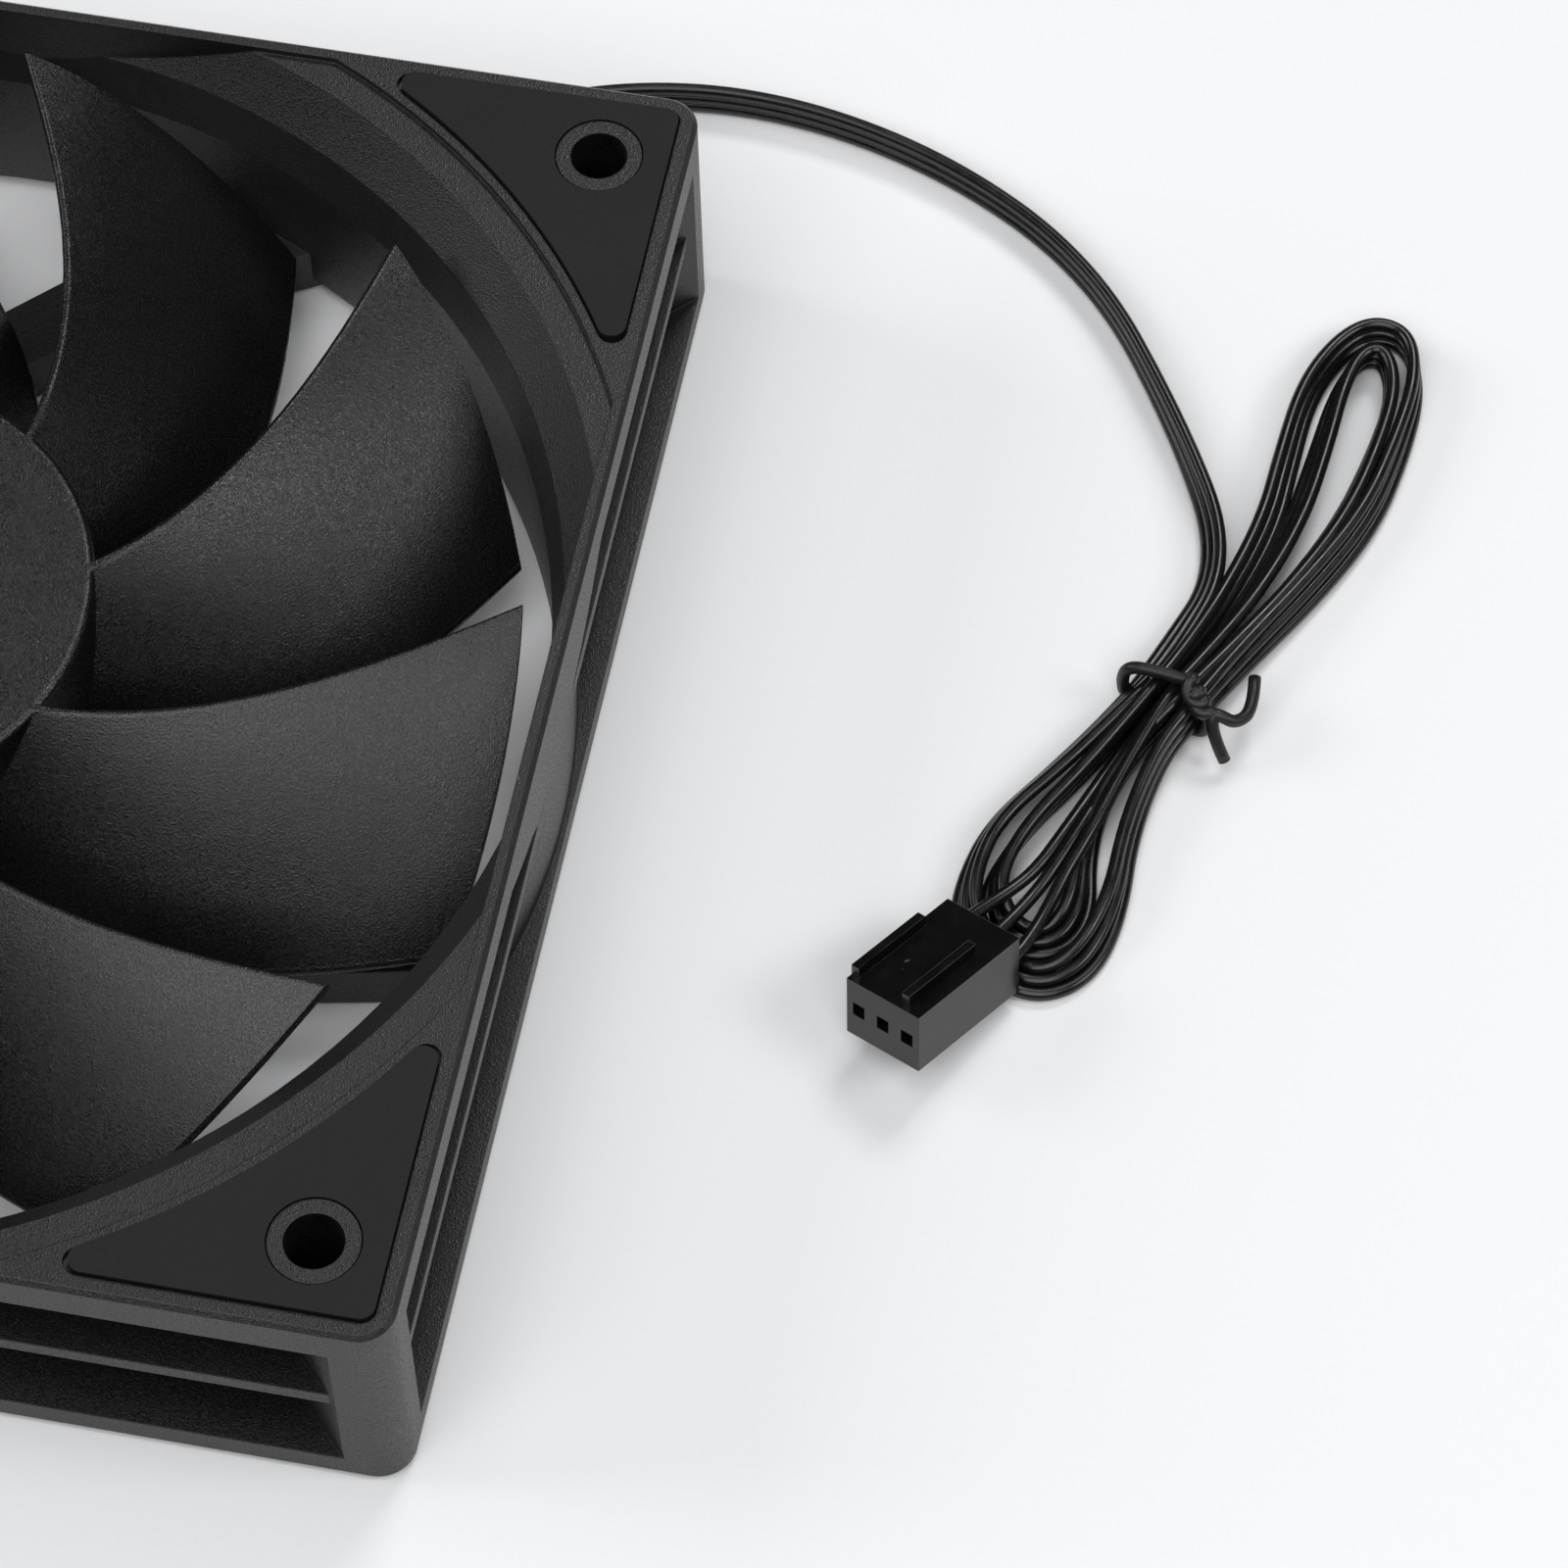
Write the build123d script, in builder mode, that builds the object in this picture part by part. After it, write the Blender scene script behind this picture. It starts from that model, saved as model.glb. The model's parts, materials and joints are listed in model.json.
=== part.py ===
from build123d import *
import os

# A 120 mm case fan: square duct frame with rubber corner pads, nine-blade impeller on an
# outer-rotor motor, and a flat three-wire cable, folded and tied, that ends in a three-pin
# socket. Millimetres, +Z up. The origin is the centre of the bottom, the inlet faces up.

os.makedirs("parts", exist_ok=True)

# ---------------------------------------------------------------- frame
frame_width = 120.0  # side of the square
fan_height = 25.0  # over the rubber pads
frame_corner = 3.0  # radius of the vertical corners
edge_round = 0.4  # softened outer edges
inlet_flange = 3.8  # plate at the inlet face
outlet_flange = 2.7  # plate at the outlet face
rib_thickness = 1.4  # middle rib round the outside
rib_setback = 0.7  # rib edge inside the frame's sides
column_width = 7.1  # diagonal column in each corner
duct_wall = 1.6
duct_setback = 0.4  # duct wall inside the frame's sides
throat_flare = 1.2  # beyond the bore, where the inlet cone meets the throat
throat_depth = 4.6  # below the inlet face
bore_depth = 9.0  # below the inlet face, full narrowing reached
cone_flare = 4.4  # beyond the bore, inner edge of the flat ring round the inlet
ring_flare = 7.2  # beyond the bore, outer edge of that ring, a shallow step
step_depth = 0.6
rim_wall = 1.2  # left beside the inlet where the sides cut it straight
outlet_flare = 1.2

# ---------------------------------------------------------------- mounting corners
hole_inset = 7.5  # hole's centre from the frame's sides
hole_diameter = 4.8
boss_wall = 1.25  # ring round each hole
pad_proud = 0.4  # rubber stands this far off the frame
pad_recess = 0.6
pad_margin = 1.5  # from the frame's side to the pad
pad_gap = 0.12  # all round the pad in its recess
pad_arc_gap = 0.8  # from the inlet step to the pad's long side
pad_corner = 1.2
boss_below_pad = 0.1

# ---------------------------------------------------------------- motor base and struts
base_overhang = 1.5  # base wider than the hub
base_floor = 1.6
base_rim_wall = 3.6
strut_height = 4.8
strut_width = 6.0
strut_outset = 3.1  # lead strut's centre line outside the base's rim
strut_angle = 44.0  # its direction from +X
side_strut_outset = 1.5
side_strut_angle = 11.5
strut_flare = 5.0  # extra width where the lead strut meets the duct
strut_root = 9.0  # along the strut, where it leaves the base
root_blend = 5.0  # length of the tapers into the base
root_depth = 4.5  # strut's root inside the base's rim
boss_wall_round_tube = 2.25
label_margin = 4.7  # base's rim to the label
label_thickness = 0.15
label_recess = 0.3

# ---------------------------------------------------------------- impeller
blade_count = 9
tip_gap = 2.0  # blade tips to the bore
hub_radius = 21.0
hub_wall = 1.6
hub_roof = 1.7
hub_round = 0.65
hub_top_gap = 2.0  # hub top below the inlet face
hub_base_gap = 0.8  # hub skirt above the struts
leading_drop = 0.9  # blade's high edge below the hub's top
trailing_rise = 0.9  # blade's low edge above the hub's skirt
root_leading_angle = -23.4  # of the first blade, from +X
root_chord_angle = 31.0
tip_chord_angle = 24.2
lean_rate = 1.31  # degrees per mm, turn of the leading edge at the root
lean_fade = 0.0109  # degrees per mm squared
root_thickness = 1.7
tip_thickness = 1.1
root_curve = 0.60  # 1 is a straight section, less is more hollow
tip_curve = 0.45
tip_round = 2.0
blade_overrun = 4.0  # blade lofted this far past the hub's wall and the tip, then trimmed
blade_sections = 6

# ---------------------------------------------------------------- motor
yoke_wall = 0.9
yoke_skirt_gap = 0.8  # yoke edge above the hub's edge
magnet_wall = 1.8
magnet_roof_gap = 3.1  # magnet's top below the yoke's roof
air_gap = 0.5
shaft_diameter = 3.0
shaft_clearance = 0.05
shaft_boss_wall = 2.1
sleeve_wall = 1.7
tube_wall = 1.0
boss_drop = 4.1  # shaft boss below the hub's ceiling
boss_tube_gap = 1.0
thrust_thickness = 1.0
axial_play = 0.1
clip_thickness = 0.5
clip_width = 1.1
clip_sleeve_gap = 1.3
groove_depth = 0.3
seal_thickness = 0.8
slinger_thickness = 0.4
slinger_radius = 3.0
stator_height = 4.6
stator_gap = 4.2  # above the board
stator_hub_wall = 2.2
tooth_width = 4.4
pole_wall = 2.6
pole_span = 74.0  # degrees
pole_count = 4
insulator_thickness = 0.6
insulator_lip = 0.8
coil_depth = 1.5
coil_rise = 0.9
board_gap = 1.9  # board's edge to the base's rim wall
board_thickness = 1.2
board_lift = 1.0  # above the base floor
post_radius = 1.2
post_inset = 4.5  # from the board's edge
post_count = 3
post_start = 20.0
chips = {  # angle, inset from the board's edge, length, width, height
    "driver_chip": (215, 5.0, 4.9, 3.9, 1.4),
    "hall_sensor": (45, 2.8, 2.9, 1.6, 1.1),
    "capacitor": (300, 4.6, 3.2, 1.6, 1.5),
}
pin_radius = 0.35
pin_inset = 1.0  # inside the foot of the teeth
lead_inset = 1.25  # cable's first point, from the board's edge
lead_end_angle = 123.1
lead_bend_radius = 6.0

# ---------------------------------------------------------------- cable
wire_diameter = 1.15
wire_count = 3
slot_clearance = 0.2
lead_level = 2.25  # cable's middle where it leaves the frame
hank_height = 5.0
tie_width = 2.6
tie_thickness = 0.8
tie_window = 5.6
tie_heading = 65.0  # direction of the bundle through the tie
tie_room = 0.4  # hank's waist beyond each side of the tie
tie_wire_radius = 0.6
knot_radius = 1.3

# ---------------------------------------------------------------- connector
pin_pitch = 2.54
connector_length = 12.8
connector_height = 5.8
connector_heading = 59.0  # of the wire end, from +X
connector_pitch = 14.0  # socket end up
connector_roll = 12.0
cavity_size = 1.9
socket_size = 1.2
front_wall = 1.0
rail_width = 0.8
rail_height = 0.8
rail_length = 8.4
rail_inset = 1.9
rail_setback = 0.6
terminal_length = 9.0
terminal_wall = 0.25
terminal_gap = 0.1
tail_run = 4.0

# ---------------------------------------------------------------- levels and fits
half_width = frame_width / 2
bore_radius = half_width - duct_setback - duct_wall
throat_radius = bore_radius + throat_flare
lip_radius = bore_radius + cone_flare
step_radius = bore_radius + ring_flare
pad_arc_radius = step_radius + pad_arc_gap
hole_spacing = frame_width - 2 * hole_inset
tip_radius = bore_radius - tip_gap
base_radius = hub_radius + base_overhang
strut_offset = base_radius + strut_outset
side_strut_offset = base_radius + side_strut_outset
label_radius = base_radius - label_margin
frame_bottom = pad_proud
frame_top = fan_height - pad_proud
rib_level = (frame_top - inlet_flange + frame_bottom + outlet_flange) / 2
strut_top = frame_bottom + strut_height
hub_top = fan_height - hub_top_gap
hub_bottom = strut_top + hub_base_gap
leading_height = hub_top - leading_drop
trailing_height = hub_bottom + trailing_rise
hub_inside = hub_radius - hub_wall
hub_ceiling = hub_top - hub_roof
hub_root = hub_radius - hub_wall / 2
boss_ring_radius = hole_diameter / 2 + boss_wall
yoke_inside = hub_inside - yoke_wall
magnet_inside = yoke_inside - magnet_wall
stator_radius = magnet_inside - air_gap
shaft_radius = shaft_diameter / 2
shaft_boss_radius = shaft_radius + shaft_boss_wall
sleeve_inside = shaft_radius + shaft_clearance
sleeve_radius = sleeve_inside + sleeve_wall
tube_radius = sleeve_radius + tube_wall
boss_radius = tube_radius + boss_wall_round_tube
boss_bottom = hub_ceiling - boss_drop
floor_level = frame_bottom + base_floor
tube_bottom = floor_level - base_floor / 2
tube_top = boss_bottom - boss_tube_gap
shaft_bottom = tube_bottom + thrust_thickness + axial_play
shaft_top = hub_ceiling - shaft_radius / 4
clip_level = shaft_bottom + 2 * clip_thickness
sleeve_bottom = clip_level + clip_thickness + clip_sleeve_gap
sleeve_top = tube_top - seal_thickness
board_bottom = floor_level + board_lift
board_top = board_bottom + board_thickness
board_radius = base_radius - base_rim_wall - board_gap
stator_lift = board_top + stator_gap
stator_top = stator_lift + stator_height
tooth_root = tube_radius + stator_hub_wall
tooth_end = stator_radius - pole_wall
ribbon_width = wire_diameter * wire_count
lead_width = wire_diameter + 2 * slot_clearance
lead_height = ribbon_width + 2 * slot_clearance
connector_width = pin_pitch * wire_count


def polar(radius, angle):
    return Vector(radius, 0).rotate(Axis.Z, angle)


def along_strut(distance, offset, angle):
    """Point at a distance along a strut whose line passes the axis at an offset."""
    return Vector(distance, offset).rotate(Axis.Z, angle)


def save(piece, name):
    piece.part.label = name
    export_step(piece.part, "parts/" + name + ".step")


# ---------------------------------------------------------------- routes of the cable
strut_line = (strut_offset, strut_angle)
exit_run = (half_width - along_strut(0, *strut_line).Y) / Vector(1, 0).rotate(Axis.Z, strut_angle).Y
lead_exit = along_strut(exit_run, *strut_line)
lead_bend = along_strut(strut_root, *strut_line)
lead_end = polar(board_radius - lead_inset, lead_end_angle)
free_points = [
    (32.8, 67.0, 2.2),
    (44.0, 75.4, 1.9),
    (60.0, 78.4, 1.8),
    (77.5, 74.6, 1.8),
    (93.2, 65.2, 1.8),
    (103.6, 49.4, 1.8),
    (109.6, 36.6, 2.1),
    (107.2, 25.4, 2.4),
]
free_route = [(lead_exit.X, lead_exit.Y, lead_level)] + free_points


def corner_radii(points, share=0.45):
    """The largest arc for each corner of a route, from its shorter run and its turn."""
    radii = []
    for before, corner, after in zip(points, points[1:], points[2:]):
        arriving = Vector(*corner) - Vector(*before)
        leaving = Vector(*after) - Vector(*corner)
        half_turn = Vector(1, 0).rotate(Axis.Z, arriving.get_angle(leaving) / 2)
        shorter = min(arriving.length, leaving.length)
        radii.append(share * shorter * half_turn.X / half_turn.Y)
    return radii


rise = Vector(0, 0, lead_level)
with BuildLine() as held_route:
    FilletPolyline(lead_end + rise, lead_bend + rise, lead_exit + rise, radius=lead_bend_radius)
lead_path = held_route.wire()
lead_start = Plane(lead_path @ 0, z_dir=lead_path % 0, x_dir=(0, 0, 1))


# ---------------------------------------------------------------- frame
def flange_plate(level, thickness, inset=0.0):
    with BuildSketch(Plane.XY.offset(level)) as plate:
        RectangleRounded(frame_width - 2 * inset, frame_width - 2 * inset, frame_corner)
    extrude(plate.sketch, amount=thickness)


def pad_outline(gap):
    """Triangular corner pad, its long side an arc round the duct."""
    side = half_width - pad_margin - gap
    with BuildSketch(mode=Mode.PRIVATE) as outline:
        with Locations((side / 2, side / 2)):
            Rectangle(side, side)
        Circle(pad_arc_radius + gap, mode=Mode.SUBTRACT)
        fillet(outline.vertices(), pad_corner)
        with Locations((hole_spacing / 2, hole_spacing / 2)):
            Circle(boss_ring_radius + gap, mode=Mode.SUBTRACT)
    return outline.sketch


with BuildPart() as passage:
    with BuildSketch(Plane.XZ):
        with BuildLine():
            Polyline(
                (0, frame_bottom),
                (bore_radius + outlet_flare, frame_bottom),
                (bore_radius, frame_bottom + outlet_flare),
                (bore_radius, frame_top - bore_depth),
                (throat_radius, frame_top - throat_depth),
                (lip_radius, frame_top - step_depth),
                (step_radius, frame_top - step_depth),
                (step_radius, frame_top),
                (0, frame_top),
                close=True,
            )
        make_face()
    revolve(axis=Axis.Z)
    with BuildSketch(Plane.XY):
        Rectangle(frame_width - 2 * rim_wall, frame_width - 2 * rim_wall)
    extrude(amount=fan_height, mode=Mode.INTERSECT)


# Collar that backs the inlet cone where it is wider than the duct, cut off at the sides.
with BuildPart() as collar:
    with BuildSketch(Plane.XZ):
        with BuildLine():
            Polyline(
                (bore_radius, frame_top - inlet_flange),
                (bore_radius, frame_top - bore_depth),
                (bore_radius + duct_wall, frame_top - bore_depth),
                (lip_radius, frame_top - inlet_flange),
                close=True,
            )
        make_face()
    revolve(axis=Axis.Z)
    with BuildSketch(Plane.XY):
        Rectangle(frame_width, frame_width)
    extrude(amount=fan_height, mode=Mode.INTERSECT)


def straight_strut(angle, offset, flare):
    """One strut, from the motor base to the duct, tangent to the base."""
    reach = (bore_radius**2 - (abs(offset) + strut_width) ** 2) ** 0.5
    side = 1 if offset > 0 else -1
    inner = abs(offset) - strut_width / 2
    outer = abs(offset) + strut_width / 2
    end = reach + 2 * strut_width
    points = [
        (end, inner - flare),
        (end - 3 * strut_width, inner),
        (strut_root + root_blend, inner),
        (strut_root, base_radius - root_depth),
        (-strut_root, base_radius - root_depth),
        (strut_root - root_blend, outer),
        (end, outer),
    ]
    corners = [along_strut(run, side * across, angle) for run, across in points]
    with BuildSketch(Plane.XY.offset(frame_bottom)) as outline:
        with BuildLine():
            Polyline(*corners, close=True)
        make_face()
        Circle(bore_radius + duct_wall / 2, mode=Mode.INTERSECT)
    extrude(outline.sketch, amount=strut_height)


with BuildPart() as frame:
    flange_plate(frame_bottom, outlet_flange)
    flange_plate(rib_level - rib_thickness / 2, rib_thickness, rib_setback)
    flange_plate(frame_top - inlet_flange, inlet_flange)
    with BuildSketch(Plane.XY.offset(frame_bottom)):
        Circle(bore_radius + duct_wall)
        for quarter in (45, 135):
            with Locations(Rotation(0, 0, quarter)):
                Rectangle(2 * frame_width, column_width)
        RectangleRounded(frame_width, frame_width, frame_corner, mode=Mode.INTERSECT)
    extrude(amount=frame_top - frame_bottom)
    add(collar.part)
    plates = frame.faces().sort_by(Axis.Z)
    chamfer(plates[0].outer_wire().edges() + plates[-1].outer_wire().edges(), edge_round)
    add(passage.part, mode=Mode.SUBTRACT)

    # Motor base: a shallow cup with a boss for the bearing tube and posts for the board.
    with BuildSketch(Plane.XY.offset(frame_bottom)):
        Circle(base_radius)
    extrude(amount=strut_height)
    for turn in (0, 180):
        straight_strut(strut_angle + turn, strut_offset, strut_flare)
        straight_strut(side_strut_angle + turn, -side_strut_offset, 0.0)
    with BuildSketch(Plane.XY.offset(floor_level)):
        Circle(base_radius - base_rim_wall)
        Circle(boss_radius, mode=Mode.SUBTRACT)
        with PolarLocations(board_radius - post_inset, post_count, start_angle=post_start):
            Circle(post_radius, mode=Mode.SUBTRACT)
    extrude(amount=strut_height, mode=Mode.SUBTRACT)
    with BuildSketch(Plane.XY.offset(board_bottom)):
        Circle(base_radius - base_rim_wall)
    extrude(amount=strut_height, mode=Mode.SUBTRACT)
    with BuildSketch(Plane.XY.offset(tube_bottom)):
        Circle(tube_radius)
    extrude(amount=strut_height, mode=Mode.SUBTRACT)
    with BuildSketch(Plane.XY.offset(frame_bottom)):
        Circle(label_radius + pad_gap)
    extrude(amount=label_recess, mode=Mode.SUBTRACT)

    # Slot for the cable, open at the outlet face, from the board to the frame's side.
    with BuildSketch(lead_start):
        Rectangle(2 * lead_level, lead_width)
    sweep(path=lead_path, mode=Mode.SUBTRACT)

    # Corner pads' recesses, both faces, each with the ring round its hole left standing.
    for quarter in range(4):
        turned = Rotation(0, 0, 90 * quarter)
        for level in (frame_top - pad_recess, frame_bottom):
            with BuildSketch(Plane.XY.offset(level)):
                add(turned * pad_outline(0))
            extrude(amount=pad_recess, mode=Mode.SUBTRACT)
    boss_rise = pad_proud - boss_below_pad
    for level in (frame_top - pad_recess, frame_bottom - boss_rise):
        with BuildSketch(Plane.XY.offset(level)):
            with GridLocations(hole_spacing, hole_spacing, 2, 2):
                Circle(boss_ring_radius)
        extrude(amount=pad_recess + boss_rise)
    with BuildSketch(Plane.XY):
        with GridLocations(hole_spacing, hole_spacing, 2, 2):
            Circle(hole_diameter / 2)
    extrude(amount=fan_height, mode=Mode.SUBTRACT)

save(frame, "frame")


# ---------------------------------------------------------------- rubber corner pads
def make_pad(level, quarter, name):
    with BuildPart() as pad:
        with BuildSketch(Plane.XY.offset(level)):
            add(Rotation(0, 0, 90 * quarter) * pad_outline(pad_gap))
        extrude(amount=pad_recess + pad_proud)
    save(pad, name)


for quarter in range(4):
    make_pad(frame_top - pad_recess, quarter, f"inlet_pad_{quarter + 1}")
    make_pad(0, quarter, f"outlet_pad_{quarter + 1}")


# ---------------------------------------------------------------- impeller
def leading_angle(radius):
    out = radius - hub_radius
    return root_leading_angle + lean_rate * out - lean_fade * out**2


def blend(radius, root_value, tip_value):
    share = (radius - hub_radius) / (tip_radius - hub_radius)
    return root_value + share * (tip_value - root_value)


def blade_section(radius):
    """Hollow blade section on a plane square to the radius at its middle."""
    chord_angle = blend(radius, root_chord_angle, tip_chord_angle)
    curve = blend(radius, root_curve, tip_curve)
    half_thick = blend(radius, root_thickness, tip_thickness) / 2
    middle_angle = leading_angle(radius) - chord_angle / 2
    quarter_turn = polar(1, chord_angle / 2)
    half_chord = radius * quarter_turn.Y / quarter_turn.X
    drop = leading_height - trailing_height
    upper, lower = [], []
    for step in range(6):
        share = step / 5
        across = half_chord * (1 - 2 * share)
        height = leading_height - drop * (curve * share + (1 - curve) * share**2)
        slope = drop * (curve + 2 * (1 - curve) * share) / (2 * half_chord)
        normal = Vector(-slope, 1).normalized() * half_thick
        upper.append(Vector(across, height) + normal)
        lower.append(Vector(across, height) - normal)
    nose = (upper[0] + lower[0]) / 2 + Vector(half_thick, half_thick * curve)
    tail = (upper[-1] + lower[-1]) / 2 - Vector(half_thick, half_thick)
    station = Plane(
        origin=polar(radius, middle_angle),
        x_dir=polar(1, middle_angle + 90),
        z_dir=polar(1, middle_angle),
    )
    with BuildSketch(station) as outline:
        with BuildLine():
            Spline(*upper)
            ThreePointArc(upper[-1], tail, lower[-1])
            Spline(*lower)
            ThreePointArc(lower[0], nose, upper[0])
        make_face()
    return outline.sketch


with BuildPart() as blade:
    first_station = hub_radius - blade_overrun
    spacing = (tip_radius + blade_overrun - first_station) / (blade_sections - 1)
    stations = [first_station + index * spacing for index in range(blade_sections)]
    loft([blade_section(station).face() for station in stations])
    with BuildSketch(Plane.XZ) as envelope:
        with Locations(((hub_root + tip_radius) / 2, fan_height / 2)):
            Rectangle(tip_radius - hub_root, fan_height - 2 * hub_top_gap)
        tip_corner = envelope.vertices().group_by(Axis.X)[-1].sort_by(Axis.Z)[-1]
        fillet(tip_corner, tip_round)
    revolve(axis=Axis.Z, mode=Mode.INTERSECT)

with BuildPart() as impeller:
    with BuildSketch(Plane.XY.offset(hub_bottom)):
        Circle(hub_radius)
    extrude(amount=hub_top - hub_bottom)
    fillet(impeller.edges().sort_by(Axis.Z)[-1], hub_round)
    with BuildSketch(Plane.XY.offset(hub_bottom)):
        Circle(hub_inside)
    extrude(amount=hub_ceiling - hub_bottom, mode=Mode.SUBTRACT)
    with BuildSketch(Plane.XY.offset(boss_bottom)):
        Circle(shaft_boss_radius)
    extrude(amount=boss_drop)
    with PolarLocations(0, blade_count):
        add(blade.part)
    with BuildSketch(Plane.XY.offset(shaft_top)):
        Circle(shaft_radius)
    extrude(amount=hub_bottom - shaft_top, mode=Mode.SUBTRACT)

save(impeller, "impeller")


# ---------------------------------------------------------------- rotor and bearing
def make_ring(name, outer, inner, level, height):
    """Plain ring or sleeve round the axis, saved as a node of its own."""
    with BuildPart() as ring:
        with BuildSketch(Plane.XY.offset(level)):
            Circle(outer)
            Circle(inner, mode=Mode.SUBTRACT)
        extrude(amount=height)
    save(ring, name)


with BuildPart() as rotor_yoke:
    yoke_bottom = hub_bottom + yoke_skirt_gap
    with BuildSketch(Plane.XY.offset(yoke_bottom)):
        Circle(hub_inside)
    extrude(amount=hub_ceiling - yoke_bottom)
    with BuildSketch(Plane.XY.offset(yoke_bottom)):
        Circle(yoke_inside)
    extrude(amount=hub_ceiling - yoke_wall - yoke_bottom, mode=Mode.SUBTRACT)
    with BuildSketch(Plane.XY.offset(yoke_bottom)):
        Circle(shaft_boss_radius)
    extrude(amount=fan_height, mode=Mode.SUBTRACT)
save(rotor_yoke, "rotor_yoke")

magnet_height = hub_ceiling - yoke_wall - magnet_roof_gap - yoke_bottom
make_ring("rotor_magnet", yoke_inside, magnet_inside, yoke_bottom, magnet_height)

with BuildPart() as shaft:
    with BuildSketch(Plane.XY.offset(shaft_bottom)):
        Circle(shaft_radius)
    extrude(amount=shaft_top - shaft_bottom)
    fillet(shaft.edges().sort_by(Axis.Z)[0], shaft_radius / 2)
    with BuildSketch(Plane.XY.offset(clip_level)):
        Circle(shaft_diameter)
        Circle(shaft_radius - groove_depth, mode=Mode.SUBTRACT)
    extrude(amount=clip_thickness, mode=Mode.SUBTRACT)
save(shaft, "shaft")

with BuildPart() as retaining_clip:
    with BuildSketch(Plane.XY.offset(clip_level)):
        Circle(shaft_radius - groove_depth + clip_width)
        Circle(shaft_radius - groove_depth, mode=Mode.SUBTRACT)
        with Locations((shaft_radius, 0)):
            Rectangle(shaft_diameter, shaft_radius, mode=Mode.SUBTRACT)
    extrude(amount=clip_thickness)
save(retaining_clip, "retaining_clip")

make_ring("slinger_washer", slinger_radius, shaft_radius, tube_top + slinger_thickness, slinger_thickness)
make_ring("oil_seal", sleeve_radius, sleeve_inside + 2 * slot_clearance, sleeve_top, seal_thickness)
make_ring("bearing_sleeve", sleeve_radius, sleeve_inside, sleeve_bottom, sleeve_top - sleeve_bottom)
make_ring("bearing_tube", tube_radius, sleeve_radius, tube_bottom, tube_top - tube_bottom)

with BuildPart() as thrust_pad:
    with BuildSketch(Plane.XY.offset(tube_bottom)):
        Circle(sleeve_radius)
    extrude(amount=thrust_thickness)
save(thrust_pad, "thrust_pad")


# ---------------------------------------------------------------- stator
def stator_outline(inner, shoe_inner, tooth):
    """Hub ring, teeth and pole shoes, seen along the axis."""
    with BuildSketch(mode=Mode.PRIVATE) as outline:
        with PolarLocations(0, pole_count):
            with BuildLine():
                rim = CenterArc((0, 0), stator_radius, -pole_span / 2, pole_span)
                bed = CenterArc((0, 0), shoe_inner, -pole_span / 2, pole_span)
                Line(rim @ 0, bed @ 0)
                Line(rim @ 1, bed @ 1)
            make_face()
        with PolarLocations(shoe_inner / 2, pole_count):
            Rectangle(shoe_inner + pole_wall / 2, tooth)
        Circle(tooth_root)
        Circle(inner, mode=Mode.SUBTRACT)
    return outline.sketch


def stator_layer(level, height, shoe_inner):
    with BuildSketch(Plane.XY.offset(level)) as layer:
        add(stator_outline(tube_radius, shoe_inner, tooth_width))
    extrude(layer.sketch, amount=height)


with BuildPart() as stator_core:
    stator_layer(stator_lift, stator_height, tooth_end)
save(stator_core, "stator_core")


def insulator_lips(level, height):
    """Walls that keep the windings in, at both ends of each tooth."""
    with BuildSketch(Plane.XY.offset(level)) as lips:
        Circle(tooth_end + insulator_lip)
        Circle(tooth_end, mode=Mode.SUBTRACT)
        with PolarLocations(tooth_end, pole_count, start_angle=180 / pole_count):
            Rectangle(2 * tooth_end, tooth_end, mode=Mode.SUBTRACT)
        Circle(tooth_root)
        Circle(tube_radius, mode=Mode.SUBTRACT)
    extrude(lips.sketch, amount=height)


with BuildPart() as upper_insulator:
    stator_layer(stator_top, insulator_thickness, tooth_end)
    insulator_lips(stator_top, insulator_thickness + coil_rise)
save(upper_insulator, "upper_insulator")

with BuildPart() as lower_insulator:
    stator_layer(stator_lift - insulator_thickness, insulator_thickness, tooth_end)
    insulator_lips(stator_lift - insulator_thickness - coil_rise, insulator_thickness + coil_rise)
save(lower_insulator, "lower_insulator")

coil_inner_end = (tooth_root**2 - (tooth_width / 2) ** 2) ** 0.5 + coil_depth
coil_outer_end = tooth_end - insulator_thickness
core_stack = stator_height + 2 * insulator_thickness
coil_middle = stator_lift + stator_height / 2
for pole in range(pole_count):
    with BuildPart() as winding:
        facing = Rotation(0, 0, pole * 360 / pole_count)
        radial = Plane.YZ.rotated((0, 0, pole * 360 / pole_count))
        with BuildSketch(radial.offset(coil_inner_end)):
            with Locations((0, coil_middle)):
                RectangleRounded(tooth_width + 2 * coil_depth, core_stack + 2 * coil_rise, coil_rise / 2)
                Rectangle(tooth_width, core_stack, mode=Mode.SUBTRACT)
        extrude(amount=coil_outer_end - coil_inner_end)
    save(winding, f"winding_{pole + 1}")

# ---------------------------------------------------------------- circuit board
with BuildPart() as circuit_board:
    with BuildSketch(Plane.XY.offset(board_bottom)):
        Circle(board_radius)
        Circle(tube_radius + slot_clearance, mode=Mode.SUBTRACT)
    extrude(amount=board_thickness)
    with BuildSketch(lead_start):
        Rectangle(2 * board_top, lead_width)
    extrude(amount=board_radius, mode=Mode.SUBTRACT)
save(circuit_board, "circuit_board")


def make_chip(name, angle, inset, length, width, height):
    """Small part soldered flat on the board."""
    middle = polar(board_radius - inset, angle) + Vector(0, 0, board_top)
    place = Plane(middle, x_dir=polar(1, angle + 90))
    with BuildPart() as chip:
        with BuildSketch(place):
            Rectangle(length, width)
        extrude(amount=height)
        chamfer(chip.faces().sort_by(Axis.Z)[-1].edges(), height / 6)
    save(chip, name)


for chip_name, chip_sizes in chips.items():
    make_chip(chip_name, *chip_sizes)

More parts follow.
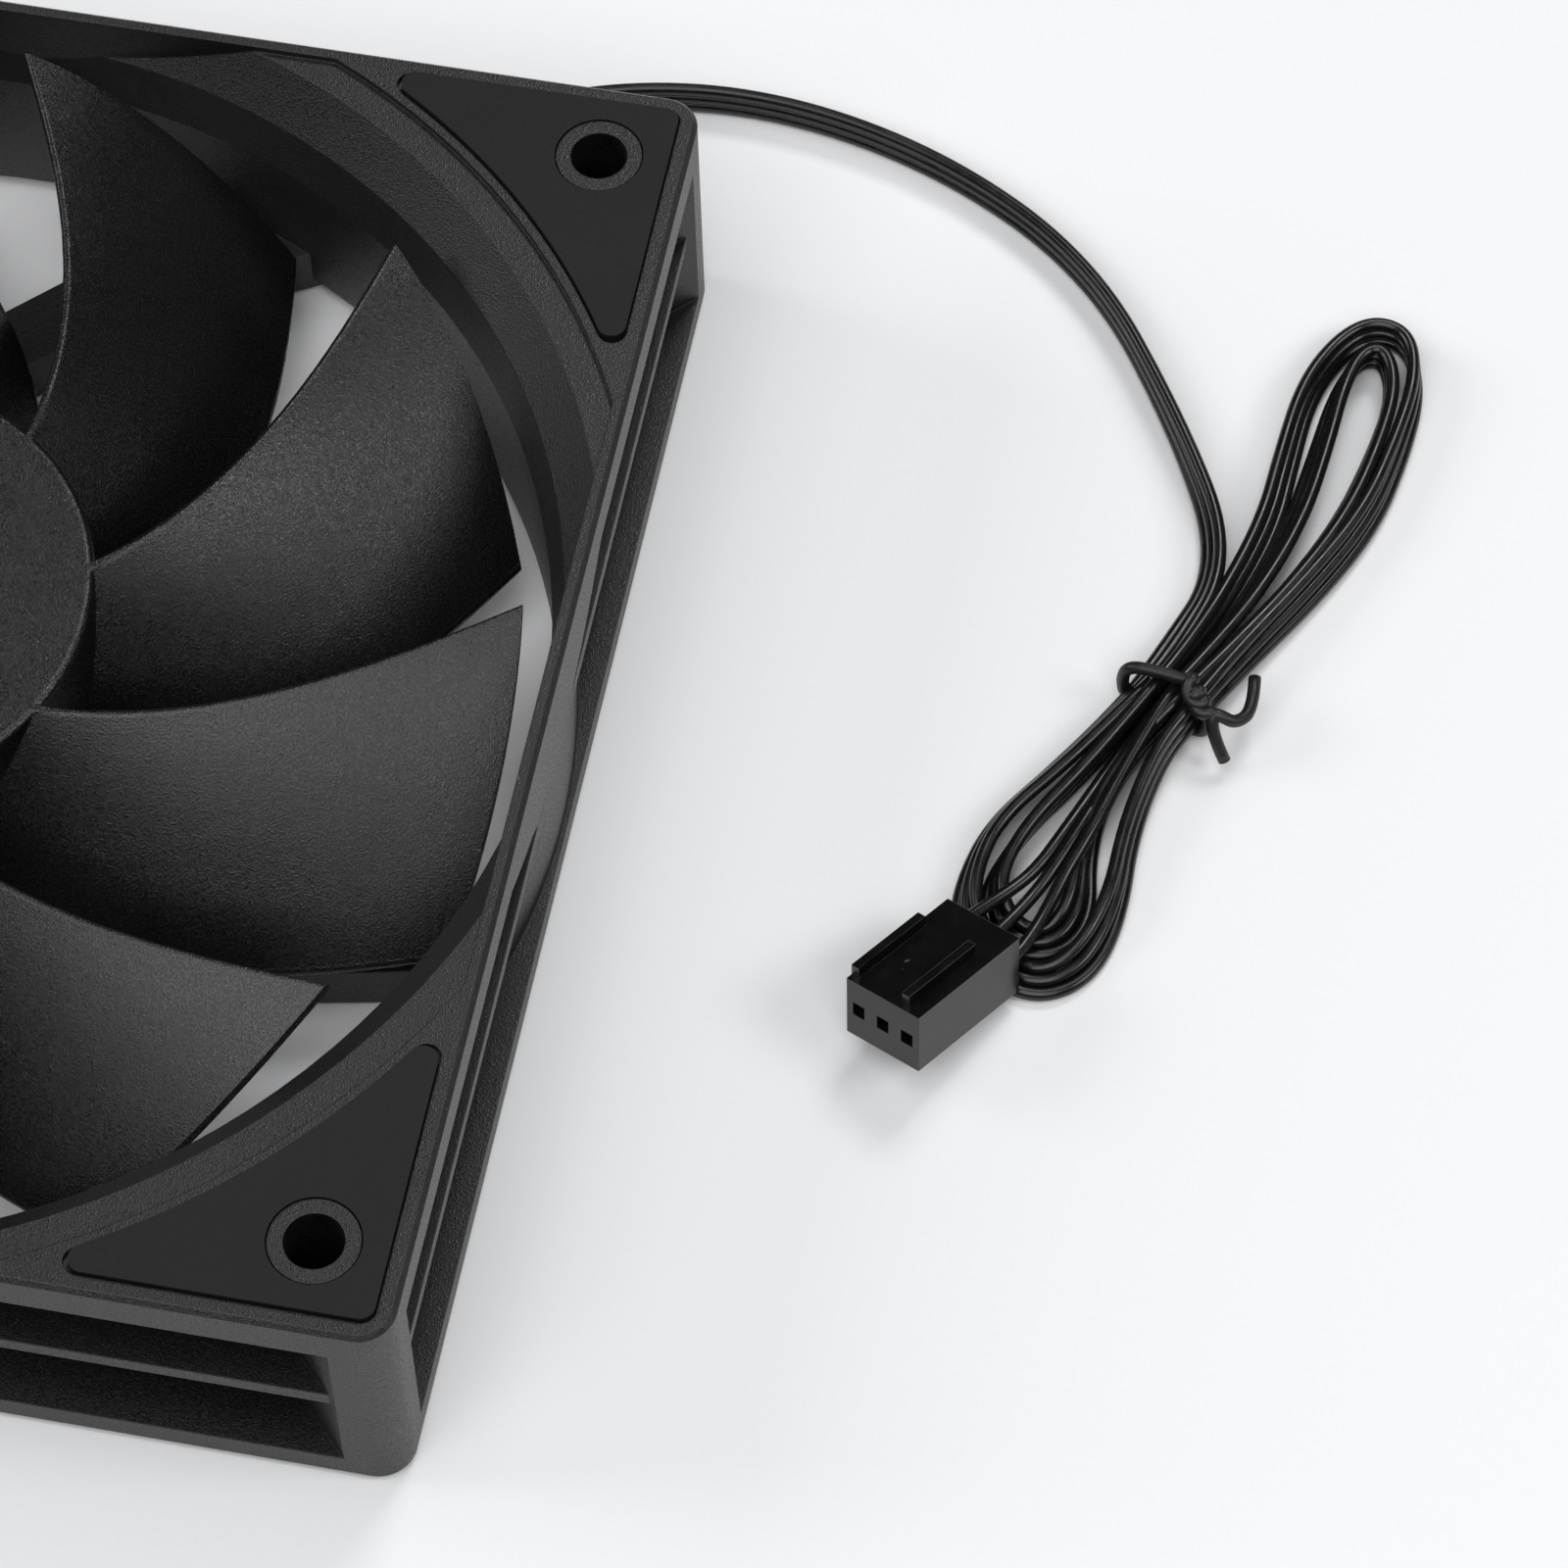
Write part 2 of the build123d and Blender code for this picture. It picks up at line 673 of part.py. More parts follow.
pin_top = stator_lift - insulator_thickness - coil_rise
with BuildPart() as terminal_pins:
    with BuildSketch(Plane.XY.offset(board_top)):
        with PolarLocations(tooth_root - pin_inset, pole_count, start_angle=180 / pole_count):
            Circle(pin_radius)
    extrude(amount=pin_top - board_top)
save(terminal_pins, "terminal_pins")

with BuildPart() as back_label:
    with BuildSketch(Plane.XY.offset(frame_bottom + label_recess)):
        Circle(label_radius)
        with Locations(lead_end):
            Circle(lead_height, mode=Mode.SUBTRACT)
    extrude(amount=-label_thickness)
save(back_label, "back_label")

# ---------------------------------------------------------------- cable
with BuildPart() as motor_lead:
    with BuildSketch(lead_start):
        SlotOverall(ribbon_width, wire_diameter)
    sweep(path=lead_path)
save(motor_lead, "motor_lead")

route_radii = corner_radii(free_route)
with BuildLine() as floor_route:
    FilletPolyline(*free_route, radius=route_radii)
lead_route = floor_route.wire()
with BuildPart() as cable_lead:
    with BuildSketch(Plane(lead_route @ 0, z_dir=lead_route % 0)):
        Circle(ribbon_width / 2)
    sweep(path=lead_route)
save(cable_lead, "cable_lead")

print("free lead radii", [round(radius, 1) for radius in route_radii])
print("free lead length", round(lead_route.length, 1))
lead_section = Circle(ribbon_width / 2).area
print("volume over section times length", cable_lead.part.volume / lead_section / lead_route.length)

# ---------------------------------------------------------------- hank and its tie
tie_centre = Vector(106.9, 21.6)
upper_left = [(108.2, 28.0), (110.9, 38.0), (112.2, 46.5), (113.4, 55.5), (115.3, 61.0)]
upper_right = [(118.0, 63.4), (121.2, 63.2), (123.8, 60.2), (124.7, 53.2), (122.6, 42.8), (118.2, 32.6)]
lower_right = [(109.6, 14.0), (108.0, 7.6), (107.0, 0.0), (105.4, -5.0), (102.6, -6.6)]
lower_left = [(94.2, -2.1), (93.0, 1.5), (95.2, 8.0), (99.0, 15.6)]


def beside_tie(along, across):
    return tie_centre + Vector(along, across).rotate(Axis.Z, tie_heading)


waist_run = tie_width / 2 + tie_room
waist_half = tie_window / 2
hank_corners = (
    [beside_tie(-waist_run, waist_half), beside_tie(waist_run, waist_half)]
    + upper_left
    + upper_right
    + [beside_tie(waist_run, -waist_half), beside_tie(-waist_run, -waist_half)]
    + lower_right
    + lower_left
)

with BuildPart() as twist_tie:
    tie_plane = Plane(tie_centre, x_dir=(0, 0, 1), z_dir=Vector(1, 0).rotate(Axis.Z, tie_heading))
    band_height = hank_height + tie_thickness
    with BuildSketch(tie_plane.offset(-tie_width / 2)):
        with Locations((band_height / 2, 0)):
            RectangleRounded(band_height, tie_window + 2 * tie_thickness, tie_thickness)
        with Locations(((hank_height + tie_thickness) / 2, 0)):
            Rectangle(hank_height - tie_thickness, tie_window, mode=Mode.SUBTRACT)
    extrude(amount=tie_width)
    knot_at = beside_tie(0, -waist_half) + Vector(0, 0, band_height)
    with Locations(knot_at):
        Sphere(knot_radius)
    for reach in ((3.4, 3.2, 0.0), (1.2, -2.4, -0.6)):
        tip = knot_at + Vector(*reach)
        with BuildSketch(Plane(knot_at, z_dir=tip - knot_at)):
            Circle(tie_wire_radius)
        extrude(amount=(tip - knot_at).length)
save(twist_tie, "twist_tie")

with BuildPart() as cable_hank:
    with BuildSketch() as hank_outline:
        with BuildLine():
            Polyline(*hank_corners, close=True)
        make_face()
    extrude(amount=hank_height)
    add(twist_tie.part, mode=Mode.SUBTRACT)
save(cable_hank, "cable_hank")


# ---------------------------------------------------------------- connector
def tilted(direction):
    rolled = direction.rotate(Axis.Y, -connector_roll)
    return rolled.rotate(Axis.X, -connector_pitch).rotate(Axis.Z, connector_heading - 90)


# The lowest corner, at the wire end on the left, touches the floor.
connector_corner = Vector(92.9, -4.3, 0)
connector_plane = Plane(connector_corner, x_dir=tilted(Vector(1, 0, 0)), z_dir=tilted(Vector(0, 0, 1)))
rear_plane = Plane(connector_corner, x_dir=connector_plane.x_dir, z_dir=-connector_plane.y_dir)
cavities = [(pin_pitch * (wire + 0.5), connector_height / 2) for wire in range(wire_count)]
cavity_depth = connector_length - front_wall


def cavity_square(depth, side):
    """Square outlines of the three cavities, a depth in from the wire end."""
    with BuildSketch(rear_plane.offset(depth), mode=Mode.PRIVATE) as outline:
        with Locations(*cavities):
            Rectangle(side, side)
    return outline.sketch


with BuildPart() as connector_housing:
    with BuildSketch(connector_plane):
        with Locations((connector_width / 2, -connector_length / 2)):
            Rectangle(connector_width, connector_length)
    extrude(amount=connector_height)
    rail_middle = rail_setback + rail_length / 2 - connector_length
    with BuildSketch(connector_plane.offset(connector_height)):
        with Locations((rail_width / 2, rail_middle), (connector_width - rail_inset, rail_middle)):
            Rectangle(rail_width, rail_length)
    extrude(amount=rail_height)
    extrude(cavity_square(0, cavity_size), amount=cavity_depth, mode=Mode.SUBTRACT)
    extrude(cavity_square(0, socket_size), amount=connector_length, mode=Mode.SUBTRACT)
save(connector_housing, "connector_housing")

for wire, place in enumerate(cavities):
    with BuildPart() as terminal:
        with BuildSketch(rear_plane.offset(cavity_depth)):
            with Locations(place):
                Rectangle(cavity_size - terminal_gap, cavity_size - terminal_gap)
                offset(amount=-terminal_wall, mode=Mode.SUBTRACT)
        extrude(amount=-terminal_length)
    save(terminal, f"terminal_{wire + 1}")

with BuildPart() as cable_tail:
    with BuildSketch(rear_plane):
        with Locations((connector_width / 2, connector_height / 2)):
            Circle(ribbon_width / 2)
    extrude(amount=-tail_run)
save(cable_tail, "cable_tail")
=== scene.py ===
import json
import math

import bpy
import numpy as np
from mathutils import Matrix, Vector


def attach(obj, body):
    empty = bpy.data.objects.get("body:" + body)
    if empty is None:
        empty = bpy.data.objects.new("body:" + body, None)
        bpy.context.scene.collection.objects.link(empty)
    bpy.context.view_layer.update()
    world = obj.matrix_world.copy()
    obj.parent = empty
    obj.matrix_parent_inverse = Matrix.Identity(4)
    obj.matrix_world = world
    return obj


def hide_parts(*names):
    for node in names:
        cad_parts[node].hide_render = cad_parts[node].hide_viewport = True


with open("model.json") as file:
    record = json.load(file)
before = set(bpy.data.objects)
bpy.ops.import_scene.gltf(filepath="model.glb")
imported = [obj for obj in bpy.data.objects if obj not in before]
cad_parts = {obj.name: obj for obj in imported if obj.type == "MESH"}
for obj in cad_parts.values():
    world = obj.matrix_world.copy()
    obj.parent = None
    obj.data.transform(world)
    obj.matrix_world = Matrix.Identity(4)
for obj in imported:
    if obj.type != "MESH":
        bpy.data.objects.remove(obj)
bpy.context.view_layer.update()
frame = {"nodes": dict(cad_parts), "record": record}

MM = 0.001
nodes = frame["nodes"]

# ---------------------------------------------------------------- sizes
WIRE = 1.15 * MM  # one wire over its jacket
FLAT_PITCH = WIRE * 0.985  # the wires' jackets run into each other a little
FAN_OUT_START = 2.0 * MM  # before the cable's end, where the wires are a pin pitch apart
FAN_OUT_LENGTH = 11.0 * MM

PIN_PITCH = 2.54 * MM
SOCKET_LENGTH = 12.8 * MM
SOCKET_HEIGHT = 5.8 * MM
SOCKET_ROLL = 12  # degrees
SOCKET_EDGE = 0.12 * MM
CAVITY = 1.9 * MM
CAVITY_DEPTH = 11.8 * MM
PIN_HOLE = 1.2 * MM
RAIL_LENGTH = 8.4 * MM
RAIL_WIDTH = 0.8 * MM
RAIL_HEIGHT = 1.6 * MM
RAIL_LIFT = 0.25 * MM  # rail's middle above the socket's top
RAIL_MOUTH_GAP = 0.6 * MM
MARK_RADIUS = 0.8 * MM
MARK_DEPTH = 0.2 * MM

TIE_WIRE = 1.1 * MM
TIE_MIDDLE = Vector((0.1069, 0.0216, 0.0))
TIE_HEADING = math.radians(65)  # the bundle's direction where it is tied

FRAME_EDGE = 0.18 * MM  # softened edges of the frame, in its finish
PAPER_SIZE = 6


# ---------------------------------------------------------------- small helpers
def deselect():
    for other in bpy.context.selected_objects:
        other.select_set(False)


def pick(piece):
    """Makes a piece the only selected one, and the active one."""
    deselect()
    piece.select_set(True)
    bpy.context.view_layer.objects.active = piece


def new_piece(name, mesh):
    piece = bpy.data.objects.new(name, mesh)
    bpy.context.scene.collection.objects.link(piece)
    return piece


def apply_modifiers(piece):
    pick(piece)
    for modifier in list(piece.modifiers):
        bpy.ops.object.modifier_apply(modifier=modifier.name)


def wear(piece, material):
    piece.data.materials.clear()
    piece.data.materials.append(material)


# ---------------------------------------------------------------- materials
class Finish:
    """A node material built up from a shader and a few patterns on Object coordinates."""

    def __init__(self, name, colour, roughness, specular=0.5):
        self.material = bpy.data.materials.new(name)
        self.material.use_nodes = True
        self.tree = self.material.node_tree
        self.shader = self.tree.nodes["Principled BSDF"]
        self.shader.inputs["Base Color"].default_value = (*colour, 1)
        self.shader.inputs["Roughness"].default_value = roughness
        self.shader.inputs["Specular IOR Level"].default_value = specular
        self.place = self.tree.nodes.new("ShaderNodeTexCoord").outputs["Object"]
        self.normal = None

    def node(self, kind, **settings):
        made = self.tree.nodes.new(kind)
        for key, value in settings.items():
            if hasattr(made, key):
                setattr(made, key, value)
            else:
                made.inputs[key].default_value = value
        return made

    def join(self, source, target):
        self.tree.links.new(source, target)

    def noise(self, scale, detail=2.0, rough=0.5, place=None):
        made = self.node("ShaderNodeTexNoise", Scale=scale, Detail=detail, Roughness=rough)
        self.join(place or self.place, made.inputs["Vector"])
        return made.outputs["Fac"]

    def cells(self, scale):
        made = self.node("ShaderNodeTexVoronoi", Scale=scale)
        self.join(self.place, made.inputs["Vector"])
        return made.outputs

    def spread(self, value, low, high, to_low, to_high):
        made = self.node("ShaderNodeMapRange")
        self.join(value, made.inputs["Value"])
        for key, number in zip(("From Min", "From Max", "To Min", "To Max"), (low, high, to_low, to_high)):
            made.inputs[key].default_value = number
        return made.outputs["Result"]

    def bump(self, height, strength, distance):
        made = self.node("ShaderNodeBump", Strength=strength, Distance=distance)
        self.join(height, made.inputs["Height"])
        if self.normal:
            self.join(self.normal, made.inputs["Normal"])
        self.normal = made.outputs["Normal"]
        self.join(self.normal, self.shader.inputs["Normal"])

    def soft_edges(self, radius):
        made = self.node("ShaderNodeBevel", samples=4, Radius=radius)
        self.normal = made.outputs["Normal"]
        self.join(self.normal, self.shader.inputs["Normal"])

    def tint(self, factor, dark, light):
        made = self.node("ShaderNodeMix", data_type="RGBA")
        self.join(factor, made.inputs["Factor"])
        made.inputs["A"].default_value = (*dark, 1)
        made.inputs["B"].default_value = (*light, 1)
        self.join(made.outputs["Result"], self.shader.inputs["Base Color"])


def eroded_plastic(name, dark, light, roughness, specular, grain, edge=0):
    """Black moulded plastic with a fine spark-eroded grain that glints."""
    finish = Finish(name, dark, roughness, specular)
    if edge:
        finish.soft_edges(edge)
    coarse = finish.noise(grain, 2.0, 0.6)
    finish.bump(coarse, 0.8, 0.05 * MM)
    pits = finish.cells(grain * 1.6)["Distance"]
    finish.bump(pits, 0.5, 0.04 * MM)
    patch = finish.noise(55, 3.0)
    finish.tint(finish.spread(patch, 0.35, 0.7, 0, 1), dark, light)
    matt = finish.spread(coarse, 0.35, 0.68, roughness + 0.12, roughness - 0.14)
    finish.join(matt, finish.shader.inputs["Roughness"])
    return finish.material


def plain_plastic(name, colour, roughness, grain=900, strength=0.1, specular=0.5):
    """Smooth plastic, rubber or nylon, with a faint unevenness."""
    finish = Finish(name, colour, roughness, specular)
    patch = finish.noise(grain, 3.0)
    finish.bump(patch, strength, 0.05 * MM)
    lighter = tuple(min(1, part * 1.25 + 0.002) for part in colour)
    finish.tint(finish.noise(130, 3.0), colour, lighter)
    matt = finish.spread(patch, 0.3, 0.7, roughness - 0.05, roughness + 0.07)
    finish.join(matt, finish.shader.inputs["Roughness"])
    return finish.material


def bare_metal(name, colour, roughness, streak=400):
    """Turned, drawn or stamped metal."""
    finish = Finish(name, colour, roughness)
    finish.shader.inputs["Metallic"].default_value = 1.0
    turned = finish.node("ShaderNodeMapping")
    turned.inputs["Scale"].default_value = (1, 1, 9)
    finish.join(finish.place, turned.inputs["Vector"])
    lines = finish.noise(streak, 4.0, 0.6, turned.outputs["Vector"])
    finish.bump(lines, 0.15, 0.03 * MM)
    matt = finish.spread(lines, 0.3, 0.7, roughness - 0.08, roughness + 0.12)
    finish.join(matt, finish.shader.inputs["Roughness"])
    return finish.material


BLACK = (0.0028, 0.0029, 0.0032)
WORN_BLACK = (0.0062, 0.0064, 0.0068)
FRAME_PLASTIC = eroded_plastic("frame plastic", BLACK, WORN_BLACK, 0.42, 0.62, 4600, FRAME_EDGE)
BLADE_PLASTIC = eroded_plastic("impeller plastic", BLACK, WORN_BLACK, 0.27, 0.6, 5200)
PAD_RUBBER = plain_plastic("pad rubber", (0.0045, 0.0047, 0.0051), 0.58, 2600, 0.2, 0.3)
JACKET = plain_plastic("cable jacket", (0.0025, 0.0026, 0.0028), 0.28, 700, 0.06)
TIE_SLEEVE = plain_plastic("tie sleeve", (0.004, 0.004, 0.0044), 0.42, 1500, 0.2)
NYLON = plain_plastic("connector nylon", (0.002, 0.002, 0.0022), 0.18, 500, 0.05, 0.6)

FINISHES = {
    "brass": bare_metal("turned brass", (0.78, 0.6, 0.32), 0.3),
    "bronze": bare_metal("sintered bronze", (0.62, 0.42, 0.24), 0.5, 3000),
    "dark_rubber": plain_plastic("seal rubber", (0.02, 0.02, 0.02), 0.7),
    "white_nylon": plain_plastic("white nylon", (0.8, 0.79, 0.75), 0.4),
    "lamination_steel": bare_metal("lamination steel", (0.42, 0.43, 0.44), 0.45),
    "board_laminate": plain_plastic("board laminate", (0.03, 0.16, 0.07), 0.35),
    "chip_resin": plain_plastic("chip resin", (0.02, 0.02, 0.021), 0.6),
    "label_film": plain_plastic("label film", (0.045, 0.046, 0.05), 0.38),
    "plated_steel": bare_metal("plated steel", (0.55, 0.56, 0.57), 0.35),
    "ferrite": plain_plastic("ferrite", (0.05, 0.05, 0.055), 0.6),
    "hardened_steel": bare_metal("ground steel", (0.7, 0.71, 0.72), 0.15),
    "spring_steel": bare_metal("spring steel", (0.4, 0.41, 0.43), 0.3),
    "copper_wire": bare_metal("copper wire", (0.72, 0.36, 0.2), 0.35, 2500),
    "tin_plate": bare_metal("tin plate", (0.75, 0.75, 0.74), 0.3),
    "frame_plastic": FRAME_PLASTIC,
    "impeller_plastic": BLADE_PLASTIC,
    "pad_rubber": PAD_RUBBER,
    "cable_jacket": JACKET,
    "tie_sleeve": TIE_SLEEVE,
    "connector_nylon": NYLON,
}

for row in frame["record"]["subparts"]:
    wear(nodes[row["node"]], FINISHES[row["material_slot"]])


# ---------------------------------------------------------------- camera
CAMERA_PLACE = (0.1386, -0.2695, 0.4635)
CAMERA_AZIMUTH, CAMERA_ELEVATION, CAMERA_ROLL = map(math.radians, (12.56, 58.37, -1.74))
CAMERA_LENS = 148.95
CAMERA_SENSOR = 36


def look():
    """Aims the camera down at the fan's near right corner and its cable."""
    flat = math.cos(CAMERA_ELEVATION)
    level = Vector((math.cos(CAMERA_AZIMUTH), math.sin(CAMERA_AZIMUTH), 0))
    back = Vector((level.y * flat, -level.x * flat, math.sin(CAMERA_ELEVATION)))
    above = back.cross(level)
    right = level * math.cos(CAMERA_ROLL) + above * math.sin(CAMERA_ROLL)
    up = above * math.cos(CAMERA_ROLL) - level * math.sin(CAMERA_ROLL)
    camera = bpy.data.objects.new("camera", bpy.data.cameras.new("camera"))
    camera.data.sensor_width = CAMERA_SENSOR
    camera.data.lens = CAMERA_LENS
    camera.data.clip_start, camera.data.clip_end = 0.01, 20
    turn = Matrix((right, up, back)).transposed().to_4x4()
    camera.matrix_world = Matrix.Translation(CAMERA_PLACE) @ turn
    bpy.context.scene.collection.objects.link(camera)
    bpy.context.scene.camera = camera


# ---------------------------------------------------------------- floor and lights
LIT_MIDDLE = (0.05, 0.0, 0.0)
SOFT_LIGHTS = {  # place, width and height, power
    "back": ((0.25, 0.85, 1.15), (0.45, 0.35), 5.4),
    "overhead": ((0.05, -0.85, 1.2), (1.6, 0.7), 11),
    "top": ((0.0, -0.2, 1.5), (0.9, 0.7), 5),
    "left": ((-1.3, 0.0, 0.75), (0.8, 0.8), 8.5),
    "right": ((1.1, -0.05, 0.95), (0.5, 0.5), 5),
}


def soft_light(name, place, size, power):
    lamp = bpy.data.objects.new(name, bpy.data.lights.new(name, "AREA"))
    lamp.data.shape = "RECTANGLE"
    lamp.data.size, lamp.data.size_y = size
    lamp.data.energy = power
    lamp.location = place
    lamp.rotation_mode = "QUATERNION"
    lamp.rotation_quaternion = (Vector(place) - Vector(LIT_MIDDLE)).to_track_quat("Z", "Y")
    bpy.context.scene.collection.objects.link(lamp)


def studio():
    """White paper under the fan, a dim world and the soft lights."""
    deselect()
    bpy.ops.mesh.primitive_plane_add(size=PAPER_SIZE, location=(0, 0, 0))
    floor = bpy.context.active_object
    floor.name = "floor"
    paper = Finish("floor paper", (0.86, 0.865, 0.875), 0.7, 0.2)
    paper.bump(paper.noise(300, 2.0), 0.02, 0.05 * MM)
    wear(floor, paper.material)
    world = bpy.data.worlds.new("studio")
    world.use_nodes = True
    background = world.node_tree.nodes["Background"]
    background.inputs["Color"].default_value = (0.93, 0.95, 0.97, 1)
    background.inputs["Strength"].default_value = 0.03
    bpy.context.scene.world = world
    for name, (place, size, power) in SOFT_LIGHTS.items():
        soft_light(name, place, size, power)
    bpy.context.scene.view_settings.view_transform = "Standard"


# ---------------------------------------------------------------- cable
# Points of the route in millimetres, and the degrees that the flat cable is turned up on its edge there.
FREE_RUN = [
    (25.28, 60.0, 2.25, 90), (32.8, 67.0, 2.2, 90), (44.0, 75.4, 1.9, 92), (60.0, 78.4, 1.8, 92),
    (77.5, 74.6, 1.8, 90), (93.2, 65.2, 1.8, 90), (103.6, 49.4, 1.8, 84), (109.6, 36.6, 2.0, 62),
    (106.2, 25.6, 2.9, 40), (103.9, 20.9, 3.1, 62),
]
FIRST_LOWER = [
    (99.2, 13.7, 2.3, 62), (94.8, 7.8, 1.8, 66), (93.5, 2.2, 1.7, 62), (94.0, -2.0, 1.3, 40),
    (96.6, -4.9, 0.85, 10), (100.6, -6.8, 0.8, 8), (104.2, -4.4, 1.1, 28), (105.9, 1.5, 1.7, 60),
    (105.8, 9.0, 2.0, 72), (107.2, 16.4, 2.8, 80),
]
FIRST_UPPER = [
    (109.4, 20.6, 3.2, 80), (112.6, 27.3, 2.4, 66), (117.3, 35.7, 1.9, 56), (120.9, 43.5, 1.8, 60),
    (122.4, 51.2, 1.8, 66), (123.0, 57.9, 1.8, 78), (121.6, 62.4, 1.8, 90), (118.4, 63.2, 1.8, 96),
    (115.7, 60.6, 1.8, 104), (113.6, 55.4, 1.8, 112), (113.0, 48.2, 1.8, 120), (112.6, 41.0, 1.9, 124),
    (110.3, 32.6, 2.1, 112), (107.5, 25.4, 2.8, 98), (105.3, 21.0, 3.2, 90),
]
SECOND_LOWER = [
    (101.1, 13.3, 2.4, 84), (97.4, 7.6, 1.8, 80), (95.6, 2.4, 1.6, 66), (96.3, -1.0, 1.2, 40),
    (98.7, -2.9, 0.85, 12), (101.7, -2.3, 0.9, 14), (103.1, 0.9, 1.3, 40), (102.5, 6.2, 1.7, 66),
    (103.2, 12.0, 2.1, 84), (105.9, 17.8, 2.8, 92),
]
SECOND_UPPER = [
    (108.1, 21.2, 3.2, 92), (110.8, 26.4, 2.6, 100), (115.1, 34.7, 2.0, 110), (118.7, 42.9, 1.9, 110),
    (120.4, 50.5, 1.9, 104), (121.1, 56.6, 1.9, 96), (119.8, 60.5, 1.9, 88), (117.7, 60.0, 1.9, 80),
    (116.4, 56.2, 1.9, 70), (115.8, 49.6, 1.9, 60), (114.8, 41.6, 1.9, 56), (112.2, 32.9, 2.1, 64),
    (109.1, 25.8, 2.8, 76), (106.7, 21.2, 3.3, 72),
]
TAIL_RUN = [(103.9, 14.0, 2.9, 50), (101.6, 6.6, 3.1, 22)]
# Inside the frame, where the cable stands on its edge in its slot.
HELD_RUN = [
    (-8.60, 13.17, 2.25), (-10.6, 21.7, 2.25), (-7.6, 28.0, 2.25), (0.6, 36.2, 2.25),
    (25.28, 60.0, 2.25),
]


def socket_frame():
    """Middle of the socket's wire end, and its across, along and up directions, from its mount."""
    mount = next(m for m in frame["record"]["mounts"] if m["name"] == "power_socket")
    along = -Vector(mount["axis"]).normalized()
    rear = Vector(mount["pos_m"]) + along * SOCKET_LENGTH
    roll = math.radians(SOCKET_ROLL)
    level = along.cross(Vector((0, 0, 1))).normalized()
    across = level * math.cos(roll) + level.cross(along) * math.sin(roll)
    return rear, across, along, across.cross(along)


REAR, ACROSS, ALONG, ABOVE = socket_frame()


def smooth_line(name, points, steps=12):
    """Closely spaced points along the smooth spline that a list of points pulls towards itself."""
    curve = bpy.data.curves.new(name, "CURVE")
    curve.dimensions = "3D"
    spline = curve.splines.new("NURBS")
    spline.points.add(len(points) - 1)
    for spot, point in zip(spline.points, points):
        spot.co = (*point, 1)
    spline.order_u = 3
    spline.use_endpoint_u = True
    spline.resolution_u = steps
    bare = bpy.data.objects.new(name, curve)
    mesh = bpy.data.meshes.new_from_object(bare)
    line = np.array([v.co for v in mesh.vertices], float)
    apart = np.linalg.norm(np.diff(line, axis=0), axis=1) > 0.1 * MM
    line = line[np.append(True, apart)]
    bpy.data.meshes.remove(mesh)
    bpy.data.objects.remove(bare)
    return line


def along_route(values, count):
    """The values at a route's points, spread smoothly over the closely spaced line."""
    at = np.linspace(0, len(values) - 2, count) + 0.5
    spread = np.interp(at, range(len(values)), values)
    window = 15
    padded = np.pad(spread, window // 2, mode="edge")
    return np.convolve(padded, np.ones(window) / window, "valid")


def tube(rings, caps=True):
    """Vertices and faces of a closed tube through rings of points."""
    count = len(rings[0])
    verts = [tuple(p) for ring in rings for p in ring]
    faces = []
    for i in range(len(rings) - 1):
        for j in range(count):
            k = (j + 1) % count
            faces.append((i * count + j, i * count + k, (i + 1) * count + k, (i + 1) * count + j))
    if caps:
        faces.append(tuple(reversed(range(count))))
        faces.append(tuple(range((len(rings) - 1) * count, len(rings) * count)))
    return verts, faces


def wire_tube(line, radius, sides=12):
    """A round closed tube along a line of points."""
    tangents = np.gradient(line, axis=0)
    tangents /= np.linalg.norm(tangents, axis=1)[:, None]
    side = np.cross(tangents[0], (0.3, 0.2, 1.0))
    rings = []
    for point, tangent in zip(line, tangents):
        side = side - tangent * (side @ tangent)
        side /= np.linalg.norm(side)
        other = np.cross(tangent, side)
        angles = [2 * math.pi * k / sides for k in range(sides)]
        rings.append([point + radius * (math.cos(a) * side + math.sin(a) * other) for a in angles])
    return tube(rings)


def merged_mesh(name, shells):
    verts, faces = [], []
    for shell_verts, shell_faces in shells:
        start = len(verts)
        verts += shell_verts
        faces += [tuple(start + v for v in face) for face in shell_faces]
    mesh = bpy.data.meshes.new(name)
    mesh.from_pydata(verts, [], faces)
    mesh.update()
    for face in mesh.polygons:
        face.use_smooth = len(face.vertices) == 4
    return mesh


def unit_rows(rows):
    return rows / np.linalg.norm(rows, axis=1)[:, None]


def three_wires(name, line, turn, pitch):
    """Three wires side by side along a line, turned up on their edge and spaced as given."""
    tangents = unit_rows(np.gradient(line, axis=0))
    level = unit_rows(np.stack([-tangents[:, 1], tangents[:, 0], np.zeros(len(line))], axis=1))
    upright = np.cross(tangents, level)
    across = np.cos(turn)[:, None] * level + np.sin(turn)[:, None] * upright
    shells = [wire_tube(line + across * (wire * pitch)[:, None], WIRE / 2) for wire in (-1, 0, 1)]
    return new_piece(name, merged_mesh(name, shells))


